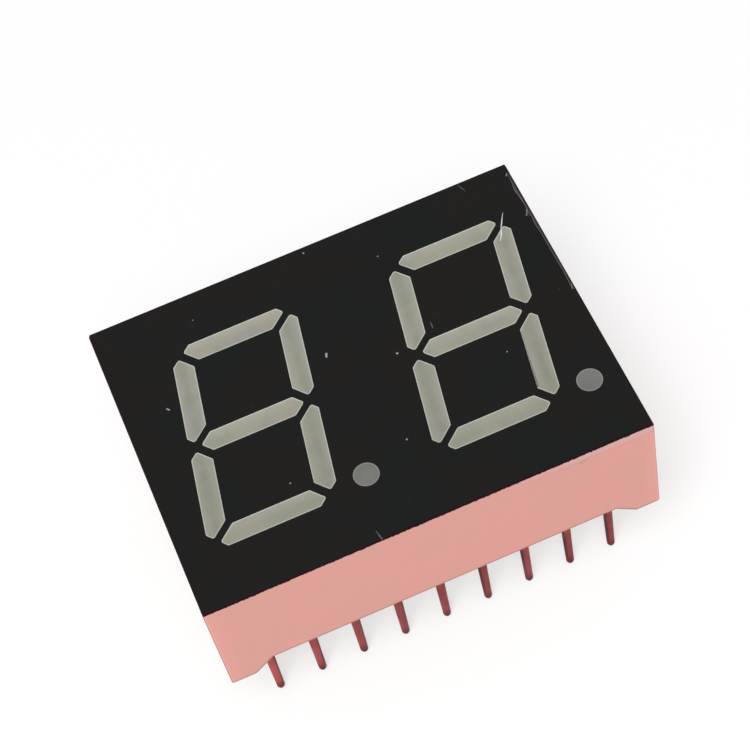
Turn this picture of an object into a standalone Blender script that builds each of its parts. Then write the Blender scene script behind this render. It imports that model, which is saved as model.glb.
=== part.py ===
"""Two-digit seven-segment LED display with digits 12.7 mm high.

It lies face up on its solder pins. X runs along the two digits, Y to their tops, Z out of the face,
and the origin is the middle of the rectangle that the pin tips stand on.
"""

import math

import bmesh
import bpy
from mathutils import Vector

MM = 0.001

# Digits: drawn upright about their own middle, then slanted
DIGIT_SIDES = {"left": -0.5, "right": 0.5}   # place of each digit, in digit pitches
DIGIT_PITCH = 12.7 * MM
DIGIT_SHIFT = 0.1 * MM                       # the pair sits this far right of the housing's middle
DIGIT_HEIGHT = 12.7 * MM
DIGIT_WIDTH = 7.32 * MM
SLANT = math.radians(10)
STROKE = 1.2 * MM
BAR_GAP = 0.41 * MM                          # square across the gap between two bars
CORNER_CUT = 1.08 * MM                       # leg of the cut at a digit's outer corners
WAIST_NOTCH = 0.66 * MM                      # half height of the notch at a digit's waist
WAIST_INSET = 0.41 * MM                      # from a digit's side to where the middle bar's gaps meet
BAR_ROUNDING = 0.12 * MM
BAR_ROUNDING_STEPS = 2
POINT_DIAMETER = 1.45 * MM
POINT_GAP = 0.87 * MM                        # from the lower right bar to the decimal point
POINT_STEPS = 24

# Outside of the housing
FACE_BORDER = 1.11 * MM                      # black face beyond the right decimal point
ROW_BEYOND_DIGIT = 1.27 * MM                 # pin row beyond the digits' top and bottom
SIDE_BEYOND_ROW = 1.93 * MM                  # housing beyond the pin row
BODY_HEIGHT = 8.0 * MM                       # feet to face
CORNER_RADIUS = 0.1 * MM
CORNER_STEPS = 3
ROUND_PROFILE = 0.5                          # a bevel of this profile follows an arc
FOOT_HEIGHT = 1.0 * MM
FOOT_LENGTH = 1.4 * MM
FOOT_SLOPE = 1.15 * MM                       # run of the sloped side of a foot

# Inside of the housing
WALL = 0.9 * MM
FRONT_PLATE = 1.2 * MM
WELL_LAND = 0.5 * MM                         # straight part of a well behind the face
WELL_FLOOR_LENGTH = 2.4 * MM
WELL_FLOOR_WIDTH = 0.8 * MM
POINT_FLOOR_DIAMETER = 0.9 * MM
WELL_RIB = 0.65 * MM                         # plastic left between a bar's well and a core
CORE_DRAFT = math.radians(3)

# Film, board, resin and chips
FILM = 0.12 * MM
FILM_SETBACK = 0.06 * MM                     # rim of the housing that shows around the film
# Strip chipped off the film's right side: how far below its top corner, and how deep into the film
CHIPPED_STRIP = [
    (0.49 * MM, 0.05 * MM),
    (0.55 * MM, 0.27 * MM),
    (0.81 * MM, 0.29 * MM),
    (0.86 * MM, 0.15 * MM),
    (1.30 * MM, 0.12 * MM),
    (1.92 * MM, 0.20 * MM),
    (2.50 * MM, 0.14 * MM),
    (3.15 * MM, 0.12 * MM),
    (3.55 * MM, 0.16 * MM),
    (3.86 * MM, 0.38 * MM),
    (3.97 * MM, 0.11 * MM),
    (4.60 * MM, 0.16 * MM),
    (5.30 * MM, 0.10 * MM),
    (6.70 * MM, 0.12 * MM),
    (8.05 * MM, 0.09 * MM),
    (9.20 * MM, 0.13 * MM),
    (9.45 * MM, 0.20 * MM),
    (9.52 * MM, 0.05 * MM),
]
BOARD = 1.0 * MM
RESIN = 0.5 * MM
RESIN_RECESS = 0.2 * MM                      # resin below the rim of the housing
CHIP_SIDE = 0.3 * MM
CHIP_HEIGHT = 0.22 * MM
CHIP_PAD_INSET = 0.08 * MM
CHIP_PAD_HEIGHT = 0.02 * MM

# Pins
PINS_IN_ROW = 9
PIN_PITCH = 2.54 * MM
PIN_DIAMETER = 0.45 * MM
PIN_REACH = 6.3 * MM                         # feet to pin tips
PIN_TIP_LENGTH = 0.3 * MM
PIN_TIP_DIAMETER = 0.18 * MM
PIN_HEAD_DIAMETER = 0.65 * MM
PIN_HEAD_HEIGHT = 0.2 * MM
PIN_TO_WALL = 0.5 * MM                       # least room between an end pin and the end wall
PIN_STEPS = 16

# Gap between pieces that touch
FIT = 0.02 * MM
# How far a cutter runs past what it cuts
OVERCUT = 0.5 * MM
# Points of a turned profile that come nearer than this are one
MERGE_DISTANCE = 0.001 * MM
# Edges that turn less than this are shaded as one round surface
SMOOTH_TURN = math.radians(40)

# Levels, from the pin tips up
FEET_Z = PIN_REACH
RIM_Z = FEET_Z + FOOT_HEIGHT
RESIN_BACK_Z = RIM_Z + RESIN_RECESS
RESIN_FRONT_Z = RESIN_BACK_Z + RESIN
BOARD_BACK_Z = RESIN_FRONT_Z + FIT
BOARD_FRONT_Z = BOARD_BACK_Z + BOARD
BLOCK_BACK_Z = BOARD_FRONT_Z + FIT
FACE_Z = FEET_Z + BODY_HEIGHT
FILM_BACK_Z = FACE_Z - FILM
HOUSING_FRONT_Z = FILM_BACK_Z - FIT
LAND_Z = HOUSING_FRONT_Z - WELL_LAND
CORE_TOP_Z = HOUSING_FRONT_Z - FRONT_PLATE

# Plan sizes that follow
LEAN = math.tan(SLANT)
HALF_WIDTH = DIGIT_WIDTH / 2
HALF_HEIGHT = DIGIT_HEIGHT / 2
POINT_Y = POINT_DIAMETER / 2 - HALF_HEIGHT
POINT_X = HALF_WIDTH + LEAN * POINT_Y + POINT_GAP + POINT_DIAMETER / 2
ROW_Y = HALF_HEIGHT + ROW_BEYOND_DIGIT
DIGITS_REACH = DIGIT_PITCH / 2 + DIGIT_SHIFT + POINT_X + POINT_DIAMETER / 2
PINS_REACH = PIN_PITCH * (PINS_IN_ROW - 1) / 2 + PIN_HEAD_DIAMETER / 2
HOUSING_LENGTH = 2 * max(DIGITS_REACH + FACE_BORDER, PINS_REACH + PIN_TO_WALL + WALL)
HOUSING_WIDTH = 2 * (ROW_Y + SIDE_BEYOND_ROW)
FILM_LENGTH = HOUSING_LENGTH - 2 * FILM_SETBACK
FILM_WIDTH = HOUSING_WIDTH - 2 * FILM_SETBACK
INNER_LENGTH = HOUSING_LENGTH - 2 * WALL
INNER_WIDTH = HOUSING_WIDTH - 2 * WALL


def clear_scene():
    """Removes every object, so that the model starts from nothing."""
    for old in list(bpy.data.objects):
        bpy.data.objects.remove(old, do_unlink=True)


def new_collection(name, parent):
    """Makes a collection inside another one."""
    collection = bpy.data.collections.new(name)
    parent.children.link(collection)
    return collection


def new_material(name, colour, roughness, metallic=0.0):
    """Makes a Principled material; the colour is linear."""
    material = bpy.data.materials.new(name)
    material.use_nodes = True
    shader = material.node_tree.nodes["Principled BSDF"]
    shader.inputs["Base Color"].default_value = (*colour, 1.0)
    shader.inputs["Roughness"].default_value = roughness
    shader.inputs["Metallic"].default_value = metallic
    return material


def add_object(name, bm, collection, location=(0, 0, 0), parent=None):
    """Turns a bmesh into an object placed by its location."""
    mesh = bpy.data.meshes.new(name)
    bm.to_mesh(mesh)
    bm.free()
    obj = bpy.data.objects.new(name, mesh)
    obj.location = location
    obj.parent = parent
    collection.objects.link(obj)
    return obj


def add_empty(name, collection, location):
    """Adds an empty that places what is parented to it."""
    empty = bpy.data.objects.new(name, None)
    empty.location = location
    collection.objects.link(empty)
    return empty


def make_cutter(obj):
    """Marks an object as a tool that only shapes others."""
    obj.hide_render = True
    obj.display_type = "WIRE"
    return obj


def cut(target, cutters):
    """Cuts every object of a collection out of the target."""
    modifier = target.modifiers.new(cutters.name, "BOOLEAN")
    modifier.operation = "DIFFERENCE"
    modifier.operand_type = "COLLECTION"
    modifier.collection = cutters
    modifier.solver = "EXACT"


def block(length, width, height, draft=0.0):
    """A block on the XY plane about the origin; the draft angle draws its sides in towards the top."""
    bm = bmesh.new()
    bmesh.ops.create_cube(bm, size=1.0)
    bmesh.ops.translate(bm, verts=bm.verts, vec=(0, 0, 0.5))
    bmesh.ops.scale(bm, verts=bm.verts, vec=(length, width, height))
    drawn_in = 2 * height * math.tan(draft)
    top = [vert for vert in bm.verts if vert.co.z > height / 2]
    bmesh.ops.scale(bm, verts=top, vec=(1 - drawn_in / length, 1 - drawn_in / width, 1))
    return bm


def faces_towards(bm, direction):
    """Faces whose normal points within 45 degrees of a direction."""
    return [face for face in bm.faces if face.normal.angle(direction) < math.pi / 4]


def moved_verts(extruded):
    """Vertices of the new end that an extrusion made."""
    return [item for item in extruded["geom"] if isinstance(item, bmesh.types.BMVert)]


def lean(bm):
    """Slants a shape that was drawn upright, as the digits slant."""
    for vert in bm.verts:
        vert.co.x += LEAN * vert.co.y


def loft(sections):
    """A closed solid through outlines of equally many points, given as (z, outline) from the top down.

    Its sides are triangles, so that a well and the casting in it twist alike.
    """
    bm = bmesh.new()
    rings = [[bm.verts.new((point.x, point.y, z)) for point in outline] for z, outline in sections]
    for upper, lower in zip(rings, rings[1:]):
        for index in range(len(upper)):
            before = index - 1
            bm.faces.new((upper[before], lower[before], lower[index]))
            bm.faces.new((upper[before], lower[index], upper[index]))
    bm.faces.new(rings[0])
    bm.faces.new(reversed(rings[-1]))
    return bm


def inset(outline, distance):
    """Moves every side of a counter-clockwise outline inwards by the same distance."""
    moved = []
    for index, corner in enumerate(outline):
        arriving = (corner - outline[index - 1]).normalized().orthogonal()
        leaving = (outline[(index + 1) % len(outline)] - corner).normalized().orthogonal()
        moved.append(corner + distance * (arriving + leaving) / (1 + arriving.dot(leaving)))
    return moved


def rounded(outline, radius, steps):
    """Rounds every corner of a counter-clockwise outline."""
    points = []
    for index, corner in enumerate(outline):
        arriving = (corner - outline[index - 1]).normalized()
        leaving = (outline[(index + 1) % len(outline)] - corner).normalized()
        turn = arriving.angle(leaving)
        start = corner - arriving * radius * math.tan(turn / 2)
        inward = arriving.orthogonal()
        for step in range(steps + 1):
            angle = turn * step / steps
            points.append(start + radius * (arriving * math.sin(angle) + inward * (1 - math.cos(angle))))
    return points


def circle(diameter):
    """A counter-clockwise circle about the origin."""
    radius = diameter / 2
    angles = [2 * math.pi * step / POINT_STEPS for step in range(POINT_STEPS)]
    return [Vector((radius * math.cos(angle), radius * math.sin(angle))) for angle in angles]


def mirrored(outline, x_sign, y_sign):
    """Mirrors an outline about the digit's middle and keeps it counter-clockwise."""
    points = [Vector((point.x * x_sign, point.y * y_sign)) for point in outline]
    if x_sign * y_sign < 0:
        points.reverse()
    return points


def bar_outlines():
    """Upright outlines of the seven bars about the digit's middle, with all gaps at 45 degrees."""
    half_gap = BAR_GAP / math.sqrt(2)
    inner_x = HALF_WIDTH - STROKE
    inner_y = HALF_HEIGHT - STROKE
    waist_x = HALF_WIDTH - WAIST_INSET
    waist_tip = waist_x + half_gap
    notch_x = HALF_WIDTH - WAIST_NOTCH
    near_tip = (CORNER_CUT - half_gap) / 2
    far_tip = (CORNER_CUT + half_gap) / 2

    top_right = [
        Vector((inner_x - half_gap, inner_y)),
        Vector((HALF_WIDTH - far_tip, HALF_HEIGHT - near_tip)),
        Vector((HALF_WIDTH - CORNER_CUT, HALF_HEIGHT)),
    ]
    top = top_right + [Vector((-point.x, point.y)) for point in reversed(top_right)]
    upper_right = [
        Vector((inner_x, inner_y - half_gap)),
        Vector((inner_x, waist_tip - inner_x)),
        Vector(((waist_tip + notch_x) / 2, (waist_tip - notch_x) / 2)),
        Vector((HALF_WIDTH, WAIST_NOTCH)),
        Vector((HALF_WIDTH, HALF_HEIGHT - CORNER_CUT)),
        Vector((HALF_WIDTH - near_tip, HALF_HEIGHT - far_tip)),
    ]
    middle_end = waist_x - half_gap
    middle_right = [
        Vector((middle_end - STROKE / 2, -STROKE / 2)),
        Vector((middle_end, 0)),
        Vector((middle_end - STROKE / 2, STROKE / 2)),
    ]
    return {
        "a": top,
        "b": upper_right,
        "c": mirrored(upper_right, 1, -1),
        "d": mirrored(top, 1, -1),
        "e": mirrored(upper_right, -1, -1),
        "f": mirrored(upper_right, -1, 1),
        "g": middle_right + mirrored(middle_right, -1, -1),
    }


def outline_middle(outline):
    """Middle of an outline's bounding rectangle."""
    xs = [point.x for point in outline]
    ys = [point.y for point in outline]
    return Vector(((min(xs) + max(xs)) / 2, (min(ys) + max(ys)) / 2))


def scaled(outline, length, width):
    """Scales an outline about the origin so that its long side is the length and its short side the width."""
    size_x = 2 * max(point.x for point in outline)
    size_y = 2 * max(point.y for point in outline)
    new_x, new_y = (length, width) if size_x > size_y else (width, length)
    return [Vector((point.x * new_x / size_x, point.y * new_y / size_y)) for point in outline]


def bar_sections(outline, clearance):
    """Front and floor outlines of a bar's well about its own middle, drawn in by a clearance."""
    middle = outline_middle(outline)
    centred = [point - middle for point in outline]
    front = rounded(inset(centred, clearance), BAR_ROUNDING, BAR_ROUNDING_STEPS)
    floor = scaled(front, WELL_FLOOR_LENGTH - 2 * clearance, WELL_FLOOR_WIDTH - 2 * clearance)
    return front, floor


def point_sections(clearance):
    """Front and floor outlines of a decimal point's well."""
    return circle(POINT_DIAMETER - 2 * clearance), circle(POINT_FLOOR_DIAMETER - 2 * clearance)


def well_places():
    """Names the wells of one digit with their sections as a function of clearance, and their places."""
    wells = {}
    for letter, outline in bar_outlines().items():
        middle = outline_middle(outline)
        place = (middle.x + LEAN * middle.y, middle.y, 0)
        wells["bar_" + letter] = (lambda clearance, outline=outline: bar_sections(outline, clearance), place)
    wells["point"] = (point_sections, (POINT_X, POINT_Y, 0))
    return wells


def add_well_cutter(name, sections, place, digit, cutters):
    """Cutter of one tapered well, from in front of the face to behind the block."""
    front, floor = sections(0.0)
    levels = [
        (OVERCUT, front),
        (LAND_Z - FACE_Z, front),
        (BLOCK_BACK_Z - FACE_Z, floor),
        (BLOCK_BACK_Z - FACE_Z - OVERCUT, floor),
    ]
    bm = loft(levels)
    if name.startswith("bar"):
        lean(bm)
    return make_cutter(add_object(digit.name + "_" + name + "_well", bm, cutters, place, digit))


def add_diffuser(name, sections, place, digit, collection, pockets, material):
    """Cast resin that fills one well from the board to the face, with a pocket for its chip."""
    front, floor = sections(FIT)
    levels = [(0, front), (LAND_Z - FACE_Z, front), (BLOCK_BACK_Z - FACE_Z, floor)]
    bm = loft(levels)
    if name.startswith("bar"):
        lean(bm)
    diffuser = add_object(digit.name + "_" + name, bm, collection, place, digit)
    diffuser.data.materials.append(material)
    diffuser.data.shade_smooth()
    diffuser.data.set_sharp_from_angle(angle=SMOOTH_TURN)
    cut(diffuser, pockets)
    return diffuser


def add_chip(name, place, digit, collection, pockets, material):
    """LED chip on the board with its bond pad, and the cutter of the pocket around it."""
    bm = block(CHIP_SIDE, CHIP_SIDE, CHIP_HEIGHT)
    bm.normal_update()
    top = faces_towards(bm, Vector((0, 0, 1)))
    bmesh.ops.inset_region(bm, faces=top, thickness=CHIP_PAD_INSET)
    raised = bmesh.ops.extrude_face_region(bm, geom=top)
    bmesh.ops.delete(bm, geom=top, context="FACES")
    bmesh.ops.translate(bm, verts=moved_verts(raised), vec=(0, 0, CHIP_PAD_HEIGHT))
    chip_place = (place[0], place[1], BLOCK_BACK_Z - FACE_Z)
    chip = add_object(digit.name + "_chip_" + name, bm, collection, chip_place, digit)
    chip.data.materials.append(material)

    pocket_side = CHIP_SIDE + 2 * FIT
    pocket_height = CHIP_HEIGHT + CHIP_PAD_HEIGHT + FIT + OVERCUT
    pocket_place = (place[0], place[1], chip_place[2] - OVERCUT)
    pocket = add_object(
        chip.name + "_pocket", block(pocket_side, pocket_side, pocket_height), pockets, pocket_place, digit
    )
    return make_cutter(pocket)


def add_core_cutters(cutters):
    """Cutters that hollow the thick parts of the block from behind."""
    depth = CORE_TOP_Z - BLOCK_BACK_Z + OVERCUT
    spread = 2 * (depth - OVERCUT) * math.tan(CORE_DRAFT)
    base_z = BLOCK_BACK_Z - OVERCUT

    loop_length = DIGIT_WIDTH - 2 * STROKE - 2 * WELL_RIB
    loop_width = HALF_HEIGHT - 1.5 * STROKE - 2 * WELL_RIB
    loop_y = (HALF_HEIGHT - STROKE / 2) / 2
    for side, pitches in DIGIT_SIDES.items():
        for level, sign in (("upper", 1), ("lower", -1)):
            bm = block(loop_length + spread, loop_width + spread, depth, CORE_DRAFT)
            lean(bm)
            place_x = pitches * DIGIT_PITCH + DIGIT_SHIFT + LEAN * sign * loop_y
            name = side + "_" + level + "_loop_core"
            make_cutter(add_object(name, bm, cutters, (place_x, sign * loop_y, base_z)))

    between_length = DIGIT_PITCH - DIGIT_WIDTH - 2 * WELL_RIB
    point_top = POINT_Y + POINT_DIAMETER / 2 + WELL_RIB
    between_width = HALF_HEIGHT - point_top
    between_y = (HALF_HEIGHT + point_top) / 2
    bm = block(between_length, between_width, depth, CORE_DRAFT)
    lean(bm)
    place = (DIGIT_SHIFT + LEAN * between_y, between_y, base_z)
    make_cutter(add_object("middle_core", bm, cutters, place))

    channel_inner = HALF_HEIGHT + WELL_RIB
    channel_width = INNER_WIDTH / 2 - channel_inner
    channel_y = channel_inner + channel_width / 2
    for side, sign in (("top", 1), ("bottom", -1)):
        bm = block(INNER_LENGTH, channel_width, depth, CORE_DRAFT)
        make_cutter(add_object(side + "_pin_channel", bm, cutters, (0, sign * channel_y, base_z)))


def add_side_cutters(cutters):
    """Cutters of the board recess and of the cut-outs that leave the four corner feet."""
    recess = block(INNER_LENGTH, INNER_WIDTH, BLOCK_BACK_Z - FEET_Z + OVERCUT)
    make_cutter(add_object("board_recess", recess, cutters, (0, 0, FEET_Z - OVERCUT)))

    slope = math.atan(FOOT_SLOPE / FOOT_HEIGHT)
    sides = {
        "long_side_cutout": (HOUSING_LENGTH - 2 * FOOT_LENGTH, 0),
        "short_side_cutout": (HOUSING_WIDTH - 2 * FOOT_LENGTH, math.pi / 2),
    }
    across = HOUSING_LENGTH + HOUSING_WIDTH
    for name, (open_length, turn) in sides.items():
        cutout = block(open_length, across, FOOT_HEIGHT, slope)
        cutout.normal_update()
        bottom = faces_towards(cutout, Vector((0, 0, -1)))
        lowered = bmesh.ops.extrude_face_region(cutout, geom=bottom)
        bmesh.ops.delete(cutout, geom=bottom, context="FACES")
        bmesh.ops.translate(cutout, verts=moved_verts(lowered), vec=(0, 0, -OVERCUT))
        obj = make_cutter(add_object(name, cutout, cutters, (0, 0, FEET_Z)))
        obj.rotation_euler.z = turn


def add_housing(collection, cutters, wells, material):
    """Moulded reflector housing: a block with wells, cores, a board recess and four feet."""
    bm = block(HOUSING_LENGTH, HOUSING_WIDTH, HOUSING_FRONT_Z - FEET_Z)
    upright = [edge for edge in bm.edges if abs(edge.verts[0].co.z - edge.verts[1].co.z) > BODY_HEIGHT / 2]
    bmesh.ops.bevel(
        bm, geom=upright, offset=CORNER_RADIUS, segments=CORNER_STEPS, profile=ROUND_PROFILE, affect="EDGES"
    )
    housing = add_object("reflector_housing", bm, collection, (0, 0, FEET_Z))
    housing.data.materials.append(material)
    cut(housing, cutters)
    cut(housing, wells)
    return housing


def add_chip_cutter(cutters):
    """Cutter of the ragged strip that is chipped off the film's right side."""
    first_y = -CHIPPED_STRIP[0][0]
    last_y = -CHIPPED_STRIP[-1][0]
    outside = [Vector((OVERCUT, last_y)), Vector((OVERCUT, first_y))]
    outline = outside + [Vector((-depth, -below)) for below, depth in CHIPPED_STRIP]
    bm = loft([(FILM + OVERCUT, outline), (-OVERCUT, outline)])
    corner = (FILM_LENGTH / 2, FILM_WIDTH / 2, FILM_BACK_Z)
    make_cutter(add_object("chipped_strip", bm, cutters, corner))


def add_film(collection, wells, chips, material):
    """Black film on the face, with a window in front of each well and its right side chipped."""
    film = add_object("face_film", block(FILM_LENGTH, FILM_WIDTH, FILM), collection, (0, 0, FILM_BACK_Z))
    film.data.materials.append(material)
    cut(film, wells)
    cut(film, chips)
    return film


def pin_places():
    """Pin numbers and places: along the bottom row from the left, back along the top row."""
    reach = PIN_PITCH * (PINS_IN_ROW - 1) / 2
    bottom = [(-reach + PIN_PITCH * index, -ROW_Y, 0) for index in range(PINS_IN_ROW)]
    top = [(-x, -y, z) for x, y, z in bottom]
    return list(enumerate(bottom + top, start=1))


def pin_profile():
    """Half profile of a pin, from the top of its head down its outer side to the tip."""
    radius = PIN_DIAMETER / 2
    head_radius = PIN_HEAD_DIAMETER / 2
    head_base = BOARD_FRONT_Z + FIT
    return [
        (0, head_base + PIN_HEAD_HEIGHT),
        (radius, head_base + PIN_HEAD_HEIGHT),
        (head_radius, head_base + PIN_HEAD_HEIGHT / 2),
        (head_radius, head_base),
        (radius, head_base),
        (radius, PIN_TIP_LENGTH),
        (PIN_TIP_DIAMETER / 2, 0),
        (0, 0),
    ]


def add_pins(collection, material):
    """Turned pins with a riveted head on the chip side of the board and a tapered tip."""
    for number, place in pin_places():
        bm = bmesh.new()
        verts = [bm.verts.new((radius, 0, z)) for radius, z in pin_profile()]
        for upper, lower in zip(verts, verts[1:]):
            bm.edges.new((upper, lower))
        pin = add_object("pin_{:02d}".format(number), bm, collection, place)
        pin.data.materials.append(material)
        turn = pin.modifiers.new("turn", "SCREW")
        turn.steps = PIN_STEPS
        turn.render_steps = PIN_STEPS
        turn.use_merge_vertices = True
        turn.merge_threshold = MERGE_DISTANCE
        turn.use_smooth_shade = True


def add_pin_hole_cutters(cutters):
    """Round cutters that clear the pins through the board and the resin."""
    height = BOARD_FRONT_Z - RESIN_BACK_Z + 2 * OVERCUT
    radius = PIN_DIAMETER / 2 + FIT
    for number, place in pin_places():
        bm = bmesh.new()
        bmesh.ops.create_cone(
            bm, cap_ends=True, segments=PIN_STEPS, radius1=radius, radius2=radius, depth=height
        )
        middle = (place[0], place[1], (BOARD_FRONT_Z + RESIN_BACK_Z) / 2)
        make_cutter(add_object("pin_hole_{:02d}".format(number), bm, cutters, middle))


def add_plate(name, thickness, base_z, collection, holes, material):
    """A plate that fills the housing's recess and lets the pins through."""
    bm = block(INNER_LENGTH - 2 * FIT, INNER_WIDTH - 2 * FIT, thickness)
    plate = add_object(name, bm, collection, (0, 0, base_z))
    plate.data.materials.append(material)
    cut(plate, holes)
    return plate


def build():
    """Models the whole display."""
    clear_scene()
    root = bpy.context.scene.collection
    display = new_collection("seven_segment_display", root)
    cutters = new_collection("cutters", root)
    wells = new_collection("well_cutters", cutters)
    housing_cutters = new_collection("housing_cutters", cutters)
    pockets = new_collection("chip_pocket_cutters", cutters)
    pin_holes = new_collection("pin_hole_cutters", cutters)
    chips = new_collection("film_chip_cutters", cutters)

    pink_plastic = new_material("pink_plastic", (0.716, 0.356, 0.309), 0.55)
    black_film = new_material("black_film", (0.016, 0.016, 0.015), 0.45)
    milky_resin = new_material("milky_resin", (0.342, 0.342, 0.283), 0.4)
    point_resin = new_material("point_resin", (0.209, 0.212, 0.191), 0.4)
    board_laminate = new_material("board_laminate", (0.35, 0.42, 0.25), 0.6)
    chip_crystal = new_material("chip_crystal", (0.45, 0.12, 0.05), 0.25)
    pin_metal = new_material("pin_metal", (0.305, 0.053, 0.065), 0.4, 0.6)
    back_resin = new_material("back_resin", (0.55, 0.50, 0.42), 0.35)

    for side, pitches in DIGIT_SIDES.items():
        digit = add_empty(side, display, (pitches * DIGIT_PITCH + DIGIT_SHIFT, 0, FACE_Z))
        for name, (sections, place) in well_places().items():
            resin = milky_resin if name.startswith("bar") else point_resin
            add_well_cutter(name, sections, place, digit, wells)
            add_diffuser(name, sections, place, digit, display, pockets, resin)
            add_chip(name.removeprefix("bar_"), place, digit, display, pockets, chip_crystal)

    add_side_cutters(housing_cutters)
    add_core_cutters(housing_cutters)
    add_housing(display, housing_cutters, wells, pink_plastic)
    add_chip_cutter(chips)
    add_film(display, wells, chips, black_film)
    add_pin_hole_cutters(pin_holes)
    add_plate("circuit_board", BOARD, BOARD_BACK_Z, display, pin_holes, board_laminate)
    add_plate("sealing_resin", RESIN, RESIN_BACK_Z, display, pin_holes, back_resin)
    add_pins(display, pin_metal)


build()
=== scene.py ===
# %% [markdown]
# # A two-digit seven-segment display
#
# The object is a small LED display, 25 mm long: a moulded housing with a black film on its face,
# fourteen bars and two points of cast resin that light up, and eighteen solder pins underneath.
# Its solids were made first, at their real size. This script gives them their looks: it refines the
# shapes that show, and gives every surface a finish that comes from nodes alone.

import math

import bmesh
import bpy
from mathutils import Matrix, Vector


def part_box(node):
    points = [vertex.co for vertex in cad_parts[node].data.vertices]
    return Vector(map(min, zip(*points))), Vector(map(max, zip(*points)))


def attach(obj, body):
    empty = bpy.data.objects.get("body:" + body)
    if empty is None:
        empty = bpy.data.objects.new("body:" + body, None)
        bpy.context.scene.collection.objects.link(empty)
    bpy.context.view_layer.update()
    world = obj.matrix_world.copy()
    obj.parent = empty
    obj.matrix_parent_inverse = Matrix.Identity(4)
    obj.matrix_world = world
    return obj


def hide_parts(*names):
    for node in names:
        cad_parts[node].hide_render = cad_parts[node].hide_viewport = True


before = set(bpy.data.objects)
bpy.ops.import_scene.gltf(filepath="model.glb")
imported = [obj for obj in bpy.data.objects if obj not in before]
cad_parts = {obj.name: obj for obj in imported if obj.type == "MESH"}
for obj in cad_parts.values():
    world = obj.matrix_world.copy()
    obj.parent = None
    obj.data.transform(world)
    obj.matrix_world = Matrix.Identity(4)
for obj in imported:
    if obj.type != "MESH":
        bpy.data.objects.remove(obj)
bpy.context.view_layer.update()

# %% [markdown]
# ## Measuring before making
#
# The solids carry all the sizes that matter. Reading the levels from them, instead of typing them
# again, keeps this script right when the solids change. Blender works in metres, and this object
# is a matter of millimetres, so a factor MM makes the numbers readable.

# %% Levels and sides of the solids
MM = 0.001

film_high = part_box("face_film")[1]
housing_low, housing_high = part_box("reflector_housing")
resin_low, resin_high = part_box("sealing_resin")

FACE_Z = film_high.z
FEET_Z = housing_low.z
LETTERS = "abcdefg"
DIGITS = ("left", "right")
PINS = sorted(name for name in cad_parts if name.startswith("pin_"))
print("face at {:.2f} mm, feet at {:.2f} mm, {} pins".format(FACE_Z / MM, FEET_Z / MM, len(PINS)))

# %% [markdown]
# ## Floor
#
# The display lies on its pins on a white table. One large plane does for the table: a subdivided or
# curved one would only cost time. It has to look white without sending more light at the object, so
# what the camera, a mirror or a glass sees of it is partly a glow, while all other light still finds
# an ordinary white surface. The diffuse part keeps the shadow. Seen from below the plane lets the view
# through, so that the underside can be looked at.

# %% Make the floor
FLOOR_SIZE = 3.0
FLOOR_WHITE = 0.90
FLOOR_GLOW = 0.53
GLOW_SHARE = 0.48

bpy.ops.mesh.primitive_plane_add(size=FLOOR_SIZE, location=(0, 0, 0))
floor = bpy.context.object
floor.name = "floor"
print("floor:", FLOOR_SIZE, "m square")

# %% [markdown]
# ## Small helpers for nodes
#
# A finish is a Principled shader with a few nodes in front of it. Written out in full, each node takes
# four lines, and these helpers bring that down to one. A socket takes the output of another node, or a
# number, a vector or a colour, and join tells them apart. All of them work on a node tree, so they serve
# a material, the world and a node group alike.

# %% Node helpers
WHITE = (1, 1, 1)


def join(tree, value, socket):
    """Connects an output to a socket, or sets the socket to a number, a vector or a colour."""
    if isinstance(value, bpy.types.NodeSocket):
        tree.links.new(value, socket)
    elif socket.type == "RGBA":
        socket.default_value = (*value, 1)
    else:
        socket.default_value = value


def fill(tree, node, **named):
    """Fills a node's sockets and options by name, with underscores for spaces."""
    for name, value in named.items():
        socket = node.inputs.get(name.replace("_", " "))
        if socket is None:
            setattr(node, name, value)
        else:
            join(tree, value, socket)
    return node


def add(tree, kind, *values, **named):
    """Adds a shader node, with values for its first sockets and named ones for the rest."""
    node = fill(tree, tree.nodes.new("ShaderNode" + kind), **named)
    for value, socket in zip(values, node.inputs):
        join(tree, value, socket)
    return node


def combine(tree, operation, *values):
    """A math node of values, each an output or a number."""
    return add(tree, "Math", *values, operation=operation).outputs[0]


def new_finish(name, **inputs):
    """A material, its node tree and its Principled shader."""
    material = bpy.data.materials.new(name)
    material.use_nodes = True
    tree = material.node_tree
    return material, tree, fill(tree, tree.nodes["Principled BSDF"], **inputs)


# %% Paint the floor
def seen(tree):
    """1 for what the camera, a mirror or a glass sees, and 0 for all other light."""
    rays = add(tree, "LightPath").outputs
    mirrored = combine(tree, "MAXIMUM", rays["Is Glossy Ray"], rays["Is Transmission Ray"])
    return combine(tree, "MAXIMUM", rays["Is Camera Ray"], mirrored)


def paint_floor(plane):
    """White for the camera, plain white plastic for all other light, nothing from below."""
    material, tree, shader = new_finish("table_white", Roughness=0.9, Specular_IOR_Level=0.1)
    fill(tree, shader, Base_Color=[FLOOR_WHITE] * 3)
    glow = add(tree, "Emission", Color=WHITE, Strength=FLOOR_GLOW / GLOW_SHARE)
    share = combine(tree, "MULTIPLY", seen(tree), GLOW_SHARE)
    bright = add(tree, "MixShader", share, shader.outputs[0], glow.outputs[0])
    below = add(tree, "NewGeometry").outputs["Backfacing"]
    clear = add(tree, "BsdfTransparent")
    sided = add(tree, "MixShader", below, bright.outputs[0], clear.outputs[0])
    join(tree, sided.outputs[0], tree.nodes["Material Output"].inputs["Surface"])
    plane.data.materials.append(material)


paint_floor(floor)
print("floor glow:", FLOOR_GLOW)

# %% [markdown]
# ## Light
#
# A product picture of a small part uses one large soft lamp and a bright room. A sun or a spot would
# draw hard shadows that no such picture has. The room is the world: it lights the object gently, and
# looks pure white where the camera sees it. The lamp hangs in front of the object, a little to the
# left, at a strength at which a colour comes out about as it is written.

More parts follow.
